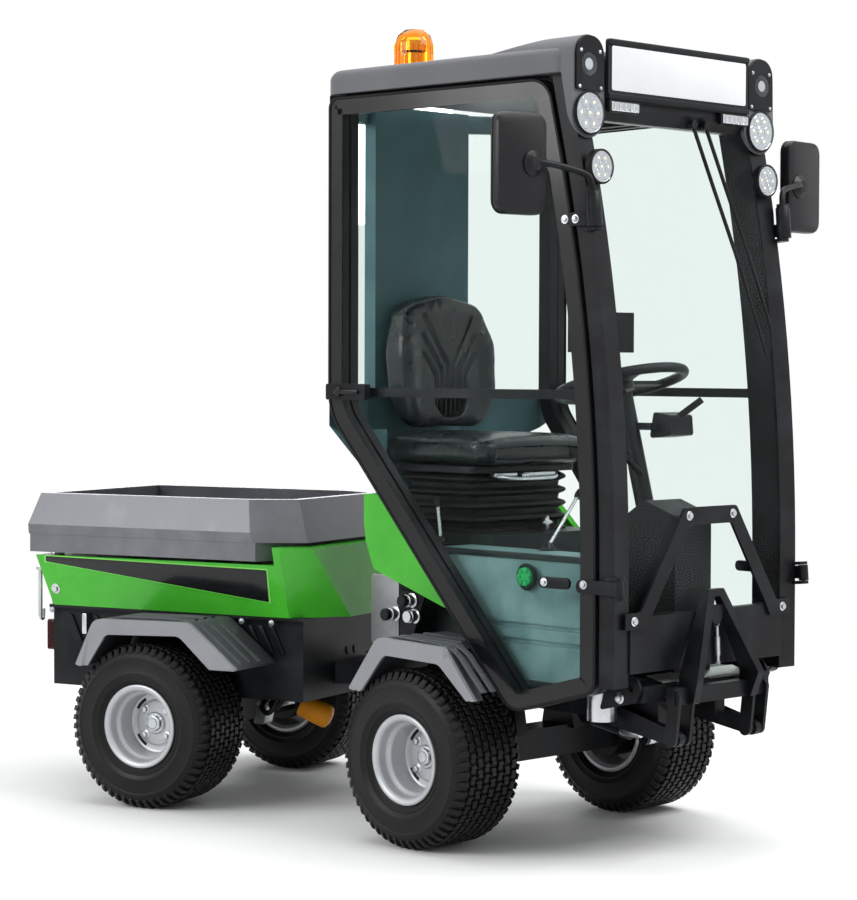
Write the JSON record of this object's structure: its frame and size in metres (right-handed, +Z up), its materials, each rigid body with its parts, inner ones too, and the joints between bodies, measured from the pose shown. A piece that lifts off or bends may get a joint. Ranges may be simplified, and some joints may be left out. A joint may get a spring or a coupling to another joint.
{
  "type": "compact road sweeper",
  "caption": "Compact articulated utility carrier with a glazed one-seat cab, tipping load bed and a front tool coupler, as used to carry sweeping gear.",
  "frame": {"origin": "centre of the bounding box on the floor, as parked with the units turned at the pivot", "axes": "+X forwards along the cab, +Y to the vehicle's left, +Z up"},
  "size_m": [2.3209, 1.3248, 2.139],
  "materials": {
    "black_steel": "satin black powder coat",
    "black_plastic": "fine grained black moulding",
    "grey_plastic": "dark grey moulding",
    "green_paint": "gloss bright green",
    "bed_paint": "satin graphite grey",
    "tank_plastic": "black moulded tank and floor",
    "glass": "clear safety glass, faint green tint",
    "lamp_lens": "clear lamp lens",
    "beacon_lens": "clear amber dome",
    "red_lens": "red lens",
    "plate": "blank white plate in a black frame",
    "seat_cover": "black stitched vinyl",
    "bright_steel": "hard chrome and zinc",
    "tyre": "black rubber",
    "rim_paint": "silver paint"
  },
  "bodies": {
    "front_unit": {"front_chassis": "black_steel", "front_axle": "black_steel", "cab_floor": "tank_plastic", "seat_platform": "black_steel", "tank": "tank_plastic", "front_panel": "black_steel", "screen_guard": "black_steel", "side_frame_right": "black_steel", "side_frame_left": "black_steel", "rear_wall": "black_steel", "cab_glass": "glass", "roof": "grey_plastic", "roof_header": "black_plastic", "number_plate": "plate", "lamps": "lamp_lens", "beacon": "beacon_lens", "wipers": "black_steel", "seat_base": "black_plastic", "seat_cushion": "seat_cover", "seat_back": "seat_cover", "console": "black_plastic", "steering_column": "black_steel", "front_fenders": "grey_plastic", "cab_cover": "green_paint", "oil_couplings": "bright_steel"},
    "rear_unit": {"rear_chassis": "black_steel", "rear_axle": "black_steel", "engine_block": "black_steel", "body_shell": "green_paint", "rear_fenders": "grey_plastic", "tail_lamps": "red_lens"},
    "load_bed": {"load_bed": "bed_paint"},
    "tip_barrel": {"tip_barrel": "black_steel"},
    "tip_rod": {"tip_rod": "bright_steel"},
    "steer_barrel": {"steer_barrel": "black_steel"},
    "steer_rod": {"steer_rod": "bright_steel"},
    "lift_arms": {"lift_arms": "black_steel"},
    "lift_frame": {"lift_frame": "black_steel"},
    "lift_barrel": {"lift_barrel": "black_steel"},
    "lift_rod": {"lift_rod": "bright_steel"},
    "door_right": {"door_frame_right": "black_steel", "door_glass_right": "glass", "door_fittings_right": "black_steel", "mirror_right": "black_steel"},
    "door_left": {"door_frame_left": "black_steel", "door_glass_left": "glass", "door_fittings_left": "black_steel", "mirror_left": "black_steel"},
    "steering_wheel": {"steering_wheel": "black_plastic"},
    "wheel_front_left": {"tyre_front_left": "tyre", "rim_front_left": "rim_paint"},
    "wheel_front_right": {"tyre_front_right": "tyre", "rim_front_right": "rim_paint"},
    "wheel_rear_left": {"tyre_rear_left": "tyre", "rim_rear_left": "rim_paint"},
    "wheel_rear_right": {"tyre_rear_right": "tyre", "rim_rear_right": "rim_paint"}
  },
  "joints": [
    {"name": "articulation", "type": "hinge", "parent": "front_unit", "child": "rear_unit", "pos_m": [-0.08844, 0.03816, 0], "axis": [0, 0, 1], "range_deg": [-58, 22]},
    {"name": "bed_tip", "type": "hinge", "parent": "rear_unit", "child": "load_bed", "pos_m": [-1.05281, -0.27518, 0.668], "axis": [0.309, -0.9511, 0], "range_deg": [0, 45]},
    {"name": "tip_barrel_pivot", "type": "hinge", "parent": "rear_unit", "child": "tip_barrel", "pos_m": [-0.26153, -0.01808, 0.42], "axis": [0.309, -0.9511, 0], "range_deg": [-15.43, 0.05]},
    {"name": "tip_rod_slide", "type": "slide", "parent": "tip_barrel", "child": "tip_rod", "axis": [-0.8081, -0.2626, 0.5272], "range_m": [-0.0002, 0.29943]},
    {"name": "steer_barrel_pivot", "type": "hinge", "parent": "front_unit", "child": "steer_barrel", "pos_m": [0.30956, 0.22816, 0.3], "axis": [0, 0, 1], "range_deg": [-7.92, 3.04]},
    {"name": "steer_rod_slide", "type": "slide", "parent": "steer_barrel", "child": "steer_rod", "axis": [-0.9979, -0.0646, 0], "range_m": [-0.18305, 0.06956]},
    {"name": "lift", "type": "hinge", "parent": "front_unit", "child": "lift_arms", "pos_m": [0.90956, 0.03816, 0.358], "axis": [0, -1, 0], "range_deg": [0, 24]},
    {"name": "lift_level", "type": "hinge", "parent": "lift_arms", "child": "lift_frame", "pos_m": [1.11164, 0.03816, 0.31799], "axis": [0, -1, 0], "range_deg": [-24.05, 0.05]},
    {"name": "lift_barrel_pivot", "type": "hinge", "parent": "front_unit", "child": "lift_barrel", "pos_m": [0.68456, 0.03816, 0.316], "axis": [0, -1, 0], "range_deg": [-0.05, 1.39]},
    {"name": "lift_rod_slide", "type": "slide", "parent": "lift_barrel", "child": "lift_rod", "axis": [0.9867, 0, -0.1623], "range_m": [-0.0002, 0.03219]},
    {"name": "door_right_hinge", "type": "hinge", "parent": "front_unit", "child": "door_right", "pos_m": [1.10547, -0.32362, 0.7], "axis": [-0.0868, -0.0074, 0.9962], "range_deg": [0, 80]},
    {"name": "door_left_hinge", "type": "hinge", "parent": "front_unit", "child": "door_left", "pos_m": [1.10547, 0.39994, 0.7], "axis": [0.0868, -0.0074, -0.9962], "range_deg": [0, 80]},
    {"name": "steering_wheel_spin", "type": "hinge", "parent": "front_unit", "child": "steering_wheel", "pos_m": [0.78956, 0.03816, 1.19], "axis": [-0.2612, 0, 0.9653], "continuous": true},
    {"name": "spin_front_left", "type": "hinge", "parent": "front_unit", "child": "wheel_front_left", "pos_m": [0.48956, 0.42716, 0.23], "axis": [0, 1, 0], "continuous": true},
    {"name": "spin_front_right", "type": "hinge", "parent": "front_unit", "child": "wheel_front_right", "pos_m": [0.48956, -0.35084, 0.23], "axis": [0, 1, 0], "continuous": true},
    {"name": "spin_rear_left", "type": "hinge", "parent": "rear_unit", "child": "wheel_rear_left", "pos_m": [-0.7051, 0.24681, 0.23], "axis": [-0.309, 0.9511, 0], "continuous": true},
    {"name": "spin_rear_right", "type": "hinge", "parent": "rear_unit", "child": "wheel_rear_right", "pos_m": [-0.46468, -0.49311, 0.23], "axis": [-0.309, 0.9511, 0], "continuous": true}
  ],
  "couplings": [
    {"joint": "tip_barrel_pivot", "follows": "bed_tip", "ratio": -0.34167},
    {"joint": "tip_rod_slide", "follows": "bed_tip", "m_per_rad": 0.38099},
    {"joint": "steer_barrel_pivot", "follows": "articulation", "ratio": 0.13574},
    {"joint": "steer_rod_slide", "follows": "articulation", "m_per_rad": 0.18063},
    {"joint": "lift_level", "follows": "lift", "ratio": -1},
    {"joint": "lift_barrel_pivot", "follows": "lift", "ratio": 0.055722},
    {"joint": "lift_rod_slide", "follows": "lift", "m_per_rad": 0.076381}
  ]
}
